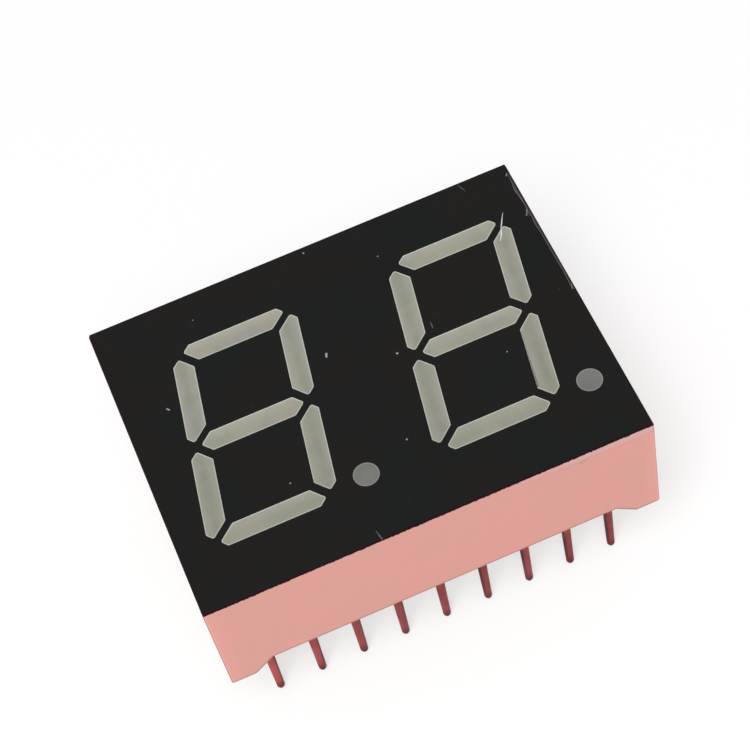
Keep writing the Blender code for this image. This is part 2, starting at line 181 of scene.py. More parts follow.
# %% Hang the lamp and light the room
ROOM_LIGHT = 0.40
LAMP_POWER = 2.9
LAMP_SIZE = 0.30
LAMP_DISTANCE = 0.60
LAMP_AZIMUTH = math.radians(-25)
LAMP_ELEVATION = math.radians(61)


def direction(azimuth, elevation):
    """From the object outwards; azimuth 0 is in front of it, at -Y, and grows to the right."""
    flat = math.cos(elevation)
    return Vector((math.sin(azimuth) * flat, -math.cos(azimuth) * flat, math.sin(elevation)))


def light_room():
    """A world of even light that looks white to the camera and in mirrors."""
    world = bpy.data.worlds.new("room")
    bpy.context.scene.world = world
    world.use_nodes = True
    tree = world.node_tree
    light = fill(tree, tree.nodes["Background"], Color=WHITE, Strength=ROOM_LIGHT)
    white = add(tree, "Background", Color=WHITE, Strength=1.0)
    mixed = add(tree, "MixShader", seen(tree), light.outputs[0], white.outputs[0])
    join(tree, mixed.outputs[0], tree.nodes["World Output"].inputs["Surface"])


def hang_lamp():
    """A square soft lamp that faces the middle of the object."""
    outwards = direction(LAMP_AZIMUTH, LAMP_ELEVATION)
    middle = Vector((0, 0, (FACE_Z + FEET_Z) / 2))
    bpy.ops.object.light_add(type="AREA", location=middle + outwards * LAMP_DISTANCE)
    lamp = bpy.context.object
    lamp.name = "soft_lamp"
    lamp.rotation_euler = outwards.to_track_quat("Z", "Y").to_euler()
    lamp.data.shape = "SQUARE"
    lamp.data.size = LAMP_SIZE
    lamp.data.energy = LAMP_POWER
    return lamp


light_room()
soft_lamp = hang_lamp()
print("lamp at", [round(value, 3) for value in soft_lamp.location])

# %% [markdown]
# ## Camera
#
# The picture looks down on the face from the front left with the camera turned, so that the digits
# run up to the right. A camera is easiest to read as a point that it aims at, a distance, two
# angles and a roll. The near camera position gives the perspective of a close-up, so the lens is a
# long one for its distance, and the near clipping plane comes in closer than Blender's default.

# %% Place the camera
AIM = Vector((0.71 * MM, -0.17 * MM, FACE_Z))
CAMERA_DISTANCE = 121.35 * MM
CAMERA_AZIMUTH = math.radians(-9.81)
CAMERA_ELEVATION = math.radians(56.29)
CAMERA_ROLL = math.radians(14.56)
LENS = 109.68
SENSOR = 36.0
CLIP_START = 0.005


def place_camera():
    """A camera that looks at AIM, turned about its own line of sight."""
    outwards = direction(CAMERA_AZIMUTH, CAMERA_ELEVATION)
    bpy.ops.object.camera_add(location=AIM + outwards * CAMERA_DISTANCE)
    camera = bpy.context.object
    camera.name = "camera"
    upright = outwards.to_track_quat("Z", "Y").to_matrix()
    roll = Matrix.Rotation(-CAMERA_ROLL, 3, "Z")
    camera.rotation_euler = (upright @ roll).to_euler()
    camera.data.lens = LENS
    camera.data.sensor_width = SENSOR
    camera.data.clip_start = CLIP_START
    bpy.context.scene.camera = camera
    return camera


camera = place_camera()
bpy.context.scene.view_settings.view_transform = "Standard"
print("camera at", [round(value / MM, 1) for value in camera.location], "mm")

# %% [markdown]
# ## Patterns in millimetres
#
# Every pattern here reads Object coordinates, which stay with the object when it moves. They are in
# metres, so they are scaled to millimetres first, and a pattern's size can then be written as the
# size that it has on the object. Noise gives clouding and grain. A fade turns any value into a mask
# with a soft edge. Noise keeps near its middle, so a fade between two levels there sets its contrast.
# Bump turns a pattern into relief that is too fine to model.

# %% Pattern helpers
SOFT = (0.30, 0.70)
FIRM = (0.35, 0.65)


def millimetres(tree):
    """Object coordinates in millimetres."""
    place = add(tree, "TexCoord").outputs["Object"]
    return add(tree, "VectorMath", place, operation="SCALE", Scale=1 / MM).outputs[0]


def axes(tree, point):
    """The x, y and z of a point or a direction."""
    return add(tree, "SeparateXYZ", point).outputs


def noise(tree, point, size, detail=2.0, roughness=0.5, stretch=(1, 1, 1)):
    """Noise between 0 and 1 with features of a size in millimetres, drawn out where stretch is above 1."""
    across = [1 / (size * factor) for factor in stretch]
    fitted = add(tree, "VectorMath", point, across, operation="MULTIPLY").outputs[0]
    texture = add(tree, "TexNoise", fitted, Scale=1.0, Detail=detail, Roughness=roughness)
    return texture.outputs["Fac"]


def fade(tree, value, start, end, low=0.0, high=1.0):
    """A mask that runs softly from low at start to high at end."""
    node = add(tree, "MapRange", value, start, end, low, high, interpolation_type="SMOOTHSTEP")
    return node.outputs["Result"]


def dots(tree, point, apart, edge, core, share=1.0):
    """Dots some millimetres apart: a share in their core, and nothing beyond their edge."""
    cells = add(tree, "TexVoronoi", point, Scale=1 / apart)
    return fade(tree, cells.outputs["Distance"], edge, core, 0.0, share)


def mix(tree, mask, first, second):
    """A colour between two, each an output or a colour, by a mask or a share."""
    node = add(tree, "Mix", mask, data_type="RGBA")
    # Sockets 1 to 5 are for mixing numbers and vectors
    join(tree, first, node.inputs[6])
    join(tree, second, node.inputs[7])
    return node.outputs[2]


def overlap(tree, *masks):
    """Where several masks meet. A number among them is a share."""
    total = masks[0]
    for mask in masks[1:]:
        total = combine(tree, "MULTIPLY", total, mask)
    return total


def relief(tree, height, depth, under=None):
    """A bump of a depth in millimetres, on top of another one."""
    node = add(tree, "Bump", Strength=1.0, Distance=depth * MM, Height=height)
    if under is not None:
        join(tree, under, node.inputs["Normal"])
    return node.outputs[0]


# %% [markdown]
# ## Marks of wear as strokes
#
# Scratches and specks sit at certain places, so noise can't draw them. Each is a stroke: a straight
# line from one point to another on the face, with a width at either end. The distance from the shaded
# point to that line gives the mask. The arithmetic is always the same, so it is built once as a node
# group and used for each stroke. A painted texture would do as well, but it would fix the sharpness.

# %% Build the stroke group
def build_stroke():
    """A node group: how much of a point in the XY plane is covered by a stroke."""
    tree = bpy.data.node_groups.new("stroke", "ShaderNodeTree")
    for name in ("Point", "From", "To", "From Width", "To Width"):
        kind = "NodeSocketFloat" if "Width" in name else "NodeSocketVector"
        tree.interface.new_socket(name, in_out="INPUT", socket_type=kind)
    tree.interface.new_socket("Mask", in_out="OUTPUT", socket_type="NodeSocketFloat")
    point, start, end, start_width, end_width = tree.nodes.new("NodeGroupInput").outputs[:5]

    def vector(operation, *values):
        return add(tree, "VectorMath", *values, operation=operation).outputs

    flat = vector("MULTIPLY", point, (1, 1, 0))[0]
    along = vector("SUBTRACT", end, start)[0]
    reach = vector("SUBTRACT", flat, start)[0]
    progress = vector("DOT_PRODUCT", reach, along)["Value"]
    square = vector("DOT_PRODUCT", along, along)["Value"]
    share = add(tree, "Math", progress, square, operation="DIVIDE", use_clamp=True).outputs[0]
    foot = add(tree, "VectorMath", along, operation="SCALE", Scale=share).outputs[0]
    distance = vector("LENGTH", vector("SUBTRACT", reach, foot)[0])["Value"]
    width = add(tree, "MapRange", share, To_Min=start_width, To_Max=end_width).outputs[0]
    covered = fade(tree, distance, 0.0, width, 1.0, 0.0)
    join(tree, covered, tree.nodes.new("NodeGroupOutput").inputs["Mask"])
    return tree


STROKE = build_stroke()
print("stroke group:", len(STROKE.nodes), "nodes")


# %% Draw strokes
def strokes(tree, point, paths):
    """One mask for several paths, each a list of (x, y, width) in millimetres."""
    total = None
    for path in paths:
        for start, end in zip(path, path[1:] or path):
            stroke = add(tree, "Group", node_tree=STROKE, Point=point)
            fill(tree, stroke, From=(*start[:2], 0), From_Width=start[2])
            fill(tree, stroke, To=(*end[:2], 0), To_Width=end[2])
            mask = stroke.outputs["Mask"]
            total = mask if total is None else combine(tree, "MAXIMUM", total, mask)
    return total


# %% [markdown]
# ## Helpers for pieces
#
# Operators act on what is selected, and loading the solids leaves them all selected. So each piece
# starts from an empty selection. A piece that refines a solid starts as a copy of its mesh. That copy
# is loose triangles: welding them and dissolving the edges inside flat faces gives back whole faces,
# which bevels and insets need. The solid itself stays as it is and is hidden by its piece. Each piece
# is shaded smooth up to an angle, with normals weighted by area, so that a bevel rounds off a flat face
# without bending its shading.

# %% Selection helpers
WELD = 0.0005 * MM
FLAT_ANGLE = math.radians(0.5)


def only(piece):
    """Selects one object and makes it the active one."""
    bpy.ops.object.select_all(action="DESELECT")
    piece.select_set(True)
    bpy.context.view_layer.objects.active = piece


def edit(piece, mode="FACE"):
    """Goes into edit mode with nothing selected."""
    only(piece)
    bpy.ops.object.mode_set(mode="EDIT")
    bpy.ops.mesh.select_mode(type=mode)
    bpy.ops.mesh.select_all(action="DESELECT")
    return bmesh.from_edit_mesh(piece.data)


def pick(piece, elements):
    """Selects some elements of the mesh being edited, and says how many."""
    for element in elements:
        element.select_set(True)
    bmesh.update_edit_mesh(piece.data)
    return len(elements)


def leave():
    """Back to object mode."""
    bpy.ops.object.mode_set(mode="OBJECT")


def copied(mesh, name):
    """A new object with its own copy of a mesh."""
    piece = bpy.data.objects.new(name, mesh.copy())
    bpy.context.scene.collection.objects.link(piece)
    return piece


def from_solid(node, name):
    """A new piece with the welded mesh of a solid, its flat faces made whole."""
    piece = copied(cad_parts[node].data, name)
    piece.data.materials.clear()
    edit(piece, "VERT")
    bpy.ops.mesh.select_all(action="SELECT")
    bpy.ops.mesh.remove_doubles(threshold=WELD)
    bpy.ops.mesh.dissolve_limited(angle_limit=FLAT_ANGLE)
    leave()
    return piece


# %% Round edges
SMOOTH_ANGLE = math.radians(32)
LEVEL = 0.002 * MM


def sharp(edge):
    """Whether two faces meet at an edge too steeply to be shaded smooth."""
    return len(edge.link_faces) == 2 and edge.calc_face_angle() > SMOOTH_ANGLE


def round_edges(piece, chosen, width, segments=2, clamp=False):
    """Bevels the edges that a test chooses."""
    mesh = edit(piece, "EDGE")
    count = pick(piece, [edge for edge in mesh.edges if chosen(edge)])
    bpy.ops.mesh.bevel(offset=width, segments=segments, affect="EDGES", clamp_overlap=clamp)
    leave()
    print(piece.name, "edges rounded:", count)


# %% Finish a piece
def settle(piece, finish, node):
    """Shades a piece, gives it its finish, and lets it stand for its solid."""
    only(piece)
    bpy.ops.object.shade_smooth_by_angle(angle=SMOOTH_ANGLE)
    even = piece.modifiers.new("flat faces stay flat", "WEIGHTED_NORMAL")
    even.keep_sharp = True
    bpy.ops.object.modifier_apply(modifier=even.name)
    piece.data.materials.clear()
    piece.data.materials.append(finish)
    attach(piece, "root")
    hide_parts(node)


# %% [markdown]
# ## Finish of the black film
#
# The face is covered by a black film with windows for the bars. It is satin, nearly without shine,
# and not quite even: some patches lean to brown, others to green. Along its outer edges, and most of
# all at its corners, it is thin enough for the pink plastic to show through as a trace of dark red. It
# has been handled, so it carries faint dust, specks and short scratches and a nearly white hair, and
# its right side is torn, with a grey burr and a few lifted slivers along the tear. The wear is drawn
# with strokes, the rest with noise.

# %% Places of the wear on the face
SPECKS = [
    [(-1.14, 2.29, 0.095), (-1.20, 2.11, 0.080)],
    [(2.29, 0.56, 0.100)],
    [(-10.13, 2.98, 0.060), (-10.04, 2.86, 0.070)],
    [(0.14, 9.10, 0.080)],
    [(0.71, -4.63, 0.080)],
    [(-5.76, -4.33, 0.065)],
    [(3.75, 6.96, 0.060)],
    [(7.57, -2.04, 0.060)],
    [(-6.95, 7.75, 0.050)],
]
SCRATCHES = [
    [(9.58, 9.40, 0.010), (9.72, 9.06, 0.050), (9.80, 8.80, 0.010)],
    [(-2.78, -8.95, 0.020), (-2.72, -9.30, 0.060), (-2.68, -9.48, 0.060)],
    [(4.66, 1.60, 0.020), (4.65, 1.33, 0.060), (4.62, 1.18, 0.020)],
]
HAIR = [
    (11.05, 6.44, 0.015),
    (10.87, 6.13, 0.036),
    (10.72, 5.84, 0.050),
    (10.56, 5.56, 0.036),
    (10.38, 5.11, 0.056),
    (10.16, 4.75, 0.020),
]
BURR = [
    [(12.36, 8.93, 0.03), (12.37, 8.19, 0.05), (12.29, 7.57, 0.08)],
    [(12.29, 7.57, 0.08), (12.35, 6.99, 0.07), (12.37, 6.34, 0.05), (12.33, 5.94, 0.06)],
    [(12.38, 5.52, 0.04), (12.33, 4.89, 0.06), (12.39, 4.19, 0.05)],
    [(12.39, 4.19, 0.05), (12.37, 2.79, 0.04), (12.40, 1.44, 0.05), (12.36, 0.29, 0.04)],
]
HOOKS = [
    [(12.37, 8.95, 0.05), (12.25, 8.74, 0.05)],
    [(12.30, 7.68, 0.05), (12.31, 7.46, 0.06)],
    [(12.34, 7.12, 0.05), (12.37, 6.94, 0.07)],
    [(12.32, 6.02, 0.06), (12.22, 5.80, 0.06), (12.12, 5.66, 0.04)],
    [(12.43, 0.42, 0.03), (12.35, 0.17, 0.05)],
]
LIFTED = (0.27, 0.255, 0.25)
BRIGHT = (0.92, 0.91, 0.88)
marks = SPECKS + SCRATCHES + [HAIR] + BURR + HOOKS
print("marks of wear on the face:", len(marks))


# %% Colour the film
FRINGE = 0.09
THIN_CORNER = (0.60, 0.10)


def from_edge(tree, x, y, corner, how="MINIMUM"):
    """How far a point is inside the nearest side of a box around the origin, or with ADD inside both."""
    beside = combine(tree, "SUBTRACT", corner.x / MM, combine(tree, "ABSOLUTE", x))
    along = combine(tree, "SUBTRACT", corner.y / MM, combine(tree, "ABSOLUTE", y))
    return combine(tree, how, beside, along)


def film_base(tree, point):
    """The film's own colour: clouds, pores and dust, dark red at its edges, corners and sides."""
    x, y, z = axes(tree, point)
    brown = (0.0099, 0.0083, 0.0077)
    green = (0.0068, 0.0084, 0.0080)
    maroon = (0.0150, 0.0018, 0.0032)
    clouds = fade(tree, noise(tree, point, 3.2, detail=3), *FIRM)
    base = mix(tree, clouds, brown, green)
    pores = fade(tree, noise(tree, point, 0.13, detail=3), *FIRM, 0.0, 0.28)
    base = mix(tree, pores, base, (0.0040, 0.0040, 0.0039))
    dust = dots(tree, point, apart=1.3, edge=0.050, core=0.020, share=0.12)
    base = mix(tree, dust, base, (0.16, 0.16, 0.15))
    patchy = fade(tree, noise(tree, point, 0.9, detail=3), 0.35, 0.60, 0.25, 0.90)
    thin = fade(tree, from_edge(tree, x, y, film_high), FRINGE, 0.0)
    base = mix(tree, overlap(tree, thin, patchy), base, maroon)
    corners = fade(tree, from_edge(tree, x, y, film_high, "ADD"), *THIN_CORNER, 0.0, 0.8)
    base = mix(tree, overlap(tree, corners, patchy), base, (0.0290, 0.0045, 0.0085))
    depth = combine(tree, "SUBTRACT", FACE_Z / MM, z)
    sides = fade(tree, depth, 0.02, 0.06, 0.0, 0.8)
    return mix(tree, sides, base, (0.0090, 0.0010, 0.0020))


# %% Make the film finish
def film_finish():
    """Black satin film with clouding, grain, a red fringe and wear."""
    material, tree, shader = new_finish("black_film_finish", Specular_IOR_Level=0.08)
    point = millimetres(tree)
    pale = (0.50, 0.49, 0.48)
    ragged = noise(tree, point, 0.10, detail=3)
    specks = overlap(tree, strokes(tree, point, SPECKS), 0.85)
    scratches = strokes(tree, point, SCRATCHES)
    rubbed_off = overlap(tree, scratches, fade(tree, ragged, 0.30, 0.55, 0.12, 0.30))
    faint = combine(tree, "MAXIMUM", specks, rubbed_off)
    burr = overlap(tree, strokes(tree, point, BURR), fade(tree, ragged, 0.25, 0.60, 0.30, 0.75))
    slivers = combine(tree, "MAXIMUM", burr, strokes(tree, point, HOOKS))
    hair = strokes(tree, point, [HAIR])
    colour = mix(tree, faint, film_base(tree, point), pale)
    colour = mix(tree, slivers, colour, LIFTED)
    colour = mix(tree, hair, colour, BRIGHT)

    rubbed = noise(tree, point, 0.9, detail=5, roughness=0.65, stretch=(1, 4, 1))
    satin = relief(tree, noise(tree, point, 0.045, detail=2), 0.004)
    waves = relief(tree, noise(tree, point, 2.5), 0.010, satin)
    lifted = relief(tree, combine(tree, "MAXIMUM", slivers, hair), 0.015, waves)
    roughness = fade(tree, rubbed, *SOFT, 0.50, 0.62)
    fill(tree, shader, Base_Color=colour, Roughness=roughness, Normal=lifted)
    return material


black_film = film_finish()
print(black_film.name, len(black_film.node_tree.nodes), "nodes")

# %% [markdown]
# ## The film
#
# The film is 0.12 mm thick and lies just inside the rim of the housing. Punched film has a slightly
# rounded upper edge, outside and in each window, which catches a thin line of light. The solid has
# its outline and its chips, so the piece is a copy of it, with that edge bevelled.

# %% Model the film
FILM_EDGE = 0.018 * MM


def on_rim(edge):
    """Whether an edge of the film is a sharp one of its upper side, outside or in a window."""
    return sharp(edge) and all(abs(vert.co.z - FACE_Z) < LEVEL for vert in edge.verts)


punched_film = from_solid("face_film", "punched_film")
round_edges(punched_film, on_rim, FILM_EDGE, clamp=True)
settle(punched_film, black_film, "face_film")

# %% [markdown]
# ## Finish of the cast resin
#
# The bars and points are epoxy with a fine white filler, which spreads the light of the chip behind
# them. Unlit they look grey-green and slightly cloudy, like frosted glass over a dark hollow. A little
# subsurface scattering softens them. The filler settles unevenly, so greenish patches change with
# warmer and greyer ones. It shows as a very fine grain too, and a few pinhole bubbles stay in any poured
# resin. Where a casting clings to the edge of its window it stands a little higher, and a painted
# highlight makes that rim paler; the height of the surface gives its mask. Over the deep middle of an
# upright bar painted shade makes the resin darker, and a painted highlight makes a lying bar lighter
# along its upper side. Both are strokes, drawn along lines that are worked out from the boxes of
# the bars.

# %% Lines along the bars
BAR_WIDTH = 1.2
CORE_WIDTH = 0.55
UPPER_WIDTH = 0.75
LYING = "adg"


def bar_lines(letters):
    """Lines along the bars with these letters: the middle of an upright one, the top of a lying one."""
    lines = []
    for side in DIGITS:
        for letter in letters:
            low, high = (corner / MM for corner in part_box(side + "_bar_" + letter))
            half = BAR_WIDTH / 2
            if letter in LYING:
                lines.append([(low.x + half, high.y, UPPER_WIDTH), (high.x - half, high.y, UPPER_WIDTH)])
            else:
                lines.append([(low.x + half, low.y, CORE_WIDTH), (high.x - half, high.y, CORE_WIDTH)])
    return lines


lying_lines = bar_lines(LYING)
upright_lines = bar_lines([letter for letter in LETTERS if letter not in LYING])
print("lines:", len(lying_lines), "along lying bars,", len(upright_lines), "along upright ones")


# %% Make the resin finishes
RIM_HIGHLIGHT_DEPTHS = (0.0080, 0.0020)
SHADE_TOP = 3.0
SHADE_BOTTOM = -5.5


def resin_finish(name, tones, lines=(), wear=()):
    """Milky epoxy in patches of tones, with a painted rim highlight, painted light and shade along lines,
    grain, pinholes and wear.
    """
    green, warm, grey, rim, shade = tones
    black = (0.0, 0.0, 0.0)
    material, tree, shader = new_finish(
        name, Roughness=0.42, Specular_IOR_Level=0.25, Subsurface_Weight=0.12, Subsurface_Scale=0.0004
    )
    point = millimetres(tree)
    y, z = axes(tree, point)[1:]
    clouds = fade(tree, noise(tree, point, 1.7, detail=3), 0.38, 0.62)
    patches = fade(tree, noise(tree, point, 2.9, detail=2), 0.50, 0.66)
    base = mix(tree, patches, mix(tree, clouds, green, warm), grey)
    # Painted light along the lines: shade over the middle of upright bars, a highlight along the top of
    # lying ones
    if lines:
        uneven = fade(tree, noise(tree, point, 0.8, detail=3), *SOFT, 0.55, 1.0)
        base = mix(tree, overlap(tree, strokes(tree, point, lines), uneven), base, shade)
    depth = combine(tree, "SUBTRACT", FACE_Z / MM, z)
    # Painted highlight on the raised rim of each casting, found by the height of its surface
    base = mix(tree, fade(tree, depth, *RIM_HIGHLIGHT_DEPTHS, 0.0, 0.9), base, rim)
    base = mix(tree, fade(tree, y, SHADE_TOP, SHADE_BOTTOM, 0.0, 0.08), base, black)
    filler = noise(tree, point, 0.05, detail=2)
    base = mix(tree, fade(tree, filler, *SOFT, 0.0, 0.06), base, black)
    pinholes = dots(tree, point, apart=0.45, edge=0.085, core=0.050, share=0.30)
    base = mix(tree, pinholes, base, (0.10, 0.10, 0.08))
    height = relief(tree, noise(tree, point, 1.1), 0.012, relief(tree, filler, 0.002))
    if wear:
        lifted = strokes(tree, point, wear)
        base = mix(tree, lifted, base, BRIGHT)
        height = relief(tree, lifted, 0.015, height)
    fill(tree, shader, Base_Color=base, Normal=height)
    return material


# The tones are green, warm, grey, the painted highlight of the rim, and the painted tone along the lines:
# shade on upright bars, highlight on lying ones
LYING_TONES = [
    (0.296, 0.306, 0.238),
    (0.336, 0.326, 0.262),
    (0.304, 0.300, 0.270),
    (0.545, 0.555, 0.488),
    (0.380, 0.376, 0.306),
]
UPRIGHT_TONES = [
    (0.308, 0.318, 0.252),
    (0.346, 0.334, 0.278),
    (0.326, 0.320, 0.288),
    (0.515, 0.525, 0.462),
    (0.262, 0.268, 0.212),
]
POINT_TONES = [
    (0.172, 0.176, 0.156),
    (0.194, 0.188, 0.172),
    (0.190, 0.187, 0.182),
    (0.270, 0.268, 0.255),
    (0.150, 0.150, 0.140),
]
lying_resin = resin_finish("lying_bar_finish", LYING_TONES, lying_lines)
upright_resin = resin_finish("upright_bar_finish", UPRIGHT_TONES, upright_lines)
scratched_resin = resin_finish("scratched_bar_finish", UPRIGHT_TONES, upright_lines, wear=[HAIR])
point_resin = resin_finish("point_resin_finish", POINT_TONES)
print("resin finishes:", lying_resin.name, upright_resin.name, scratched_resin.name, point_resin.name)

# %% [markdown]
# ## The castings
#
# Resin shrinks a little as it hardens, so the front of each casting is not flat: it clings to the edge
# of its window and sinks by some hundredths of a millimetre towards the middle. Insets with a small
# depth make that dish in a few steps. Together they stay narrower than the rounding of the bars'
# corners, because an inset past it would fold the outline over. The rest of each casting, which tapers
# down to the pocket of its chip, is the solid's own shape.

# %% Model a casting
DISH = [(0.040 * MM, -0.003 * MM), (0.035 * MM, -0.005 * MM), (0.030 * MM, -0.004 * MM)]
FRONT_COSINE = 0.9
SCRATCHED = "right_bar_b"


def model_casting(node):
    """A casting with a dished front."""
    piece = from_solid(node, "cast_" + node)
    mesh = edit(piece)
    front = [
        face
        for face in mesh.faces
        if face.normal.z > FRONT_COSINE and abs(face.calc_center_median().z - FACE_Z) < LEVEL
    ]
    pick(piece, front)
    for width, depth in DISH:
        bpy.ops.mesh.inset(thickness=width, depth=depth, use_even_offset=True)
    leave()
    return piece


for side in DIGITS:
    for letter in LETTERS:
        node = side + "_bar_" + letter
        resin = lying_resin if letter in LYING else upright_resin
        if node == SCRATCHED:
            resin = scratched_resin
        settle(model_casting(node), resin, node)
    node = side + "_point"
    settle(model_casting(node), point_resin, node)
print("castings:", len(DIGITS) * (len(LETTERS) + 1))

# %% [markdown]
# ## Finish of the moulded housing
#
# The housing is dull pink plastic with a fine satin skin, as a spark-eroded mould leaves it. Its
# colour is almost even, with faint clouds and flecks of the dye. A painted highlight makes it a little
# brighter towards its ends and on its side walls, with a brighter painted line at the front corners,
# and painted shade darkens the faces that turn sideways there. The black ink of the face has bled
# over the rim, where it thins to a dark red. Along the top of the front wall lies a paler strip,
# which is widest near its right end and ends in a crease that carries a line of painted shade, with a
# brown smudge under it and a stain at the corner. Where the film is torn off, the bare rim is streaky
# brown and grey. Each of these is a mask made from the place on the housing, broken up by noise. The
# lower edges carry a thin line of painted shade: on the underside it is found by the way that the
# surface faces, and on the front wall it follows the wall's own edge, whose corners are read from the
# solid.

# %% Places of the wear on the housing
FRONT_Y = housing_low.y / MM
ON_FRONT = (FRONT_Y + 0.15, FRONT_Y + 0.05)
OFF_FRONT = (FRONT_Y + 0.15, FRONT_Y + 0.30)
FRONT_CORNERS = (FRONT_Y + 0.40, FRONT_Y + 0.25)
INK_DEPTH = 0.085
INK_BLEED = 0.19
INK_SIDES = 0.06
INK_THIN = 0.08
STRIP_START = 3.0
STRIP_WIDEST = 10.5
STRIP_DEPTHS = (0.42, 0.63)
STRIP_NARROWS = (11.3, 12.4)
STRIP_NARROWING = 0.09
STRIP_RAGGED = 0.22
STRIP_FADE = (0.20, -0.16)
CREASE = 0.10
SMUDGE = [[(8.38, 0.82, 0.24), (8.66, 0.70, 0.18)]]
STAIN = [[(12.46, 0.42, 0.07), (12.50, 0.80, 0.09)]]
TORN_X = (12.28, 12.47)
TORN_Y = (0.00, 9.02)
EDGE_SHADE_REACH = 0.05
EDGE_SHADE_WIDTH = 0.24
CORNER_HIGHLIGHT_REACH = 1.1
CORNER_HIGHLIGHT_LINE = 0.20
WALL_FOOT = 3.0
print("pale strip from x =", STRIP_START, "mm, widest at", STRIP_WIDEST, "mm")


# %% Read the lower edge of the front wall
def lower_edge():
    """The corners of the front wall's lower edge from left to right, as places for a stroke."""
    corners = set()
    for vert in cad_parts["reflector_housing"].data.vertices:
        depth = (FACE_Z - vert.co.z) / MM
        if abs(vert.co.y - housing_low.y) < LEVEL and depth > WALL_FOOT:
            corners.add((round(vert.co.x / MM, 3), round(depth, 3), EDGE_SHADE_WIDTH))
    return sorted(corners)


# The front wall's lower edge carries a stroke of painted shade
shaded_lower_edge = lower_edge()
print("lower edge of the front wall:", [(x, depth) for x, depth, width in shaded_lower_edge])


# %% Find the wear of the front wall
def front_wall(tree, x, y, depth):
    """Masks of the front wall's pale strip, the crease below it, a smudge, a stain and the painted shade
    along the lower edge.
    """
    front = fade(tree, y, *ON_FRONT)
    lower = fade(tree, x, STRIP_START + 2.0, STRIP_WIDEST, *STRIP_DEPTHS)
    narrower = fade(tree, x, *STRIP_NARROWS, 0.0, STRIP_NARROWING)
    along = noise(tree, add(tree, "CombineXYZ", x).outputs[0], 1.1, detail=4)
    ragged = overlap(tree, combine(tree, "SUBTRACT", along, 0.5), STRIP_RAGGED)
    below = combine(tree, "ADD", depth, ragged)
    below = combine(tree, "SUBTRACT", below, combine(tree, "SUBTRACT", lower, narrower))
    strength = fade(tree, x, STRIP_START, STRIP_WIDEST - 2.0, 0.10, 1.0)
    spot = add(tree, "CombineXYZ", x, depth).outputs[0]
    patchy = fade(tree, noise(tree, spot, 0.35, detail=3), *SOFT, 0.55, 1.0)
    strip = overlap(tree, front, strength, patchy, fade(tree, below, *STRIP_FADE))
    # Painted shade in the crease under the pale strip
    beside = combine(tree, "ABSOLUTE", combine(tree, "SUBTRACT", below, CREASE))
    crease = overlap(tree, front, strength, fade(tree, beside, CREASE, 0.0))
    drawn = [strokes(tree, spot, paths) for paths in (SMUDGE, STAIN, [shaded_lower_edge])]
    return strip, crease, *(overlap(tree, front, mask) for mask in drawn)


# %% Find the ink on the rim
def between(tree, value, start, end, blur):
    """A mask of what lies between two values, with soft ends."""
    after = fade(tree, value, start, start + blur)
    return overlap(tree, after, fade(tree, value, end, end - blur))


def ink_on_rim(tree, point, facing, depth):
    """The mask of the ink that has bled over the rim, and the colour of the rim where it lies."""
    x, y = axes(tree, point)[:2]
    run = overlap(tree, noise(tree, point, 0.12, detail=4, stretch=(1, 1, 3)), INK_BLEED)
    deeper = fade(tree, y, *OFF_FRONT, 0.0, INK_SIDES)
    run = combine(tree, "SUBTRACT", depth, combine(tree, "ADD", run, deeper))
    up = overlap(tree, fade(tree, facing[2], 0.3, 0.8), fade(tree, depth, 0.5, 0.4))
    ink = combine(tree, "MAXIMUM", up, fade(tree, run, INK_DEPTH, INK_DEPTH - 0.03))
    thinned = fade(tree, run, INK_DEPTH - INK_THIN, INK_DEPTH - 0.02)
    thinned = overlap(tree, thinned, fade(tree, up, 1.0, 0.0))
    inked = mix(tree, thinned, (0.0080, 0.0010, 0.0018), (0.0340, 0.0028, 0.0056))
    streaks = fade(tree, noise(tree, point, 0.09, detail=3, stretch=(1, 9, 1)), 0.42, 0.70)
    bare = mix(tree, streaks, (0.036, 0.022, 0.024), (0.088, 0.068, 0.072))
    torn = overlap(tree, between(tree, x, *TORN_X, blur=0.05), between(tree, y, *TORN_Y, blur=0.1))
    rim = mix(tree, torn, inked, bare)
    return ink, mix(tree, strokes(tree, point, HOOKS), rim, LIFTED)


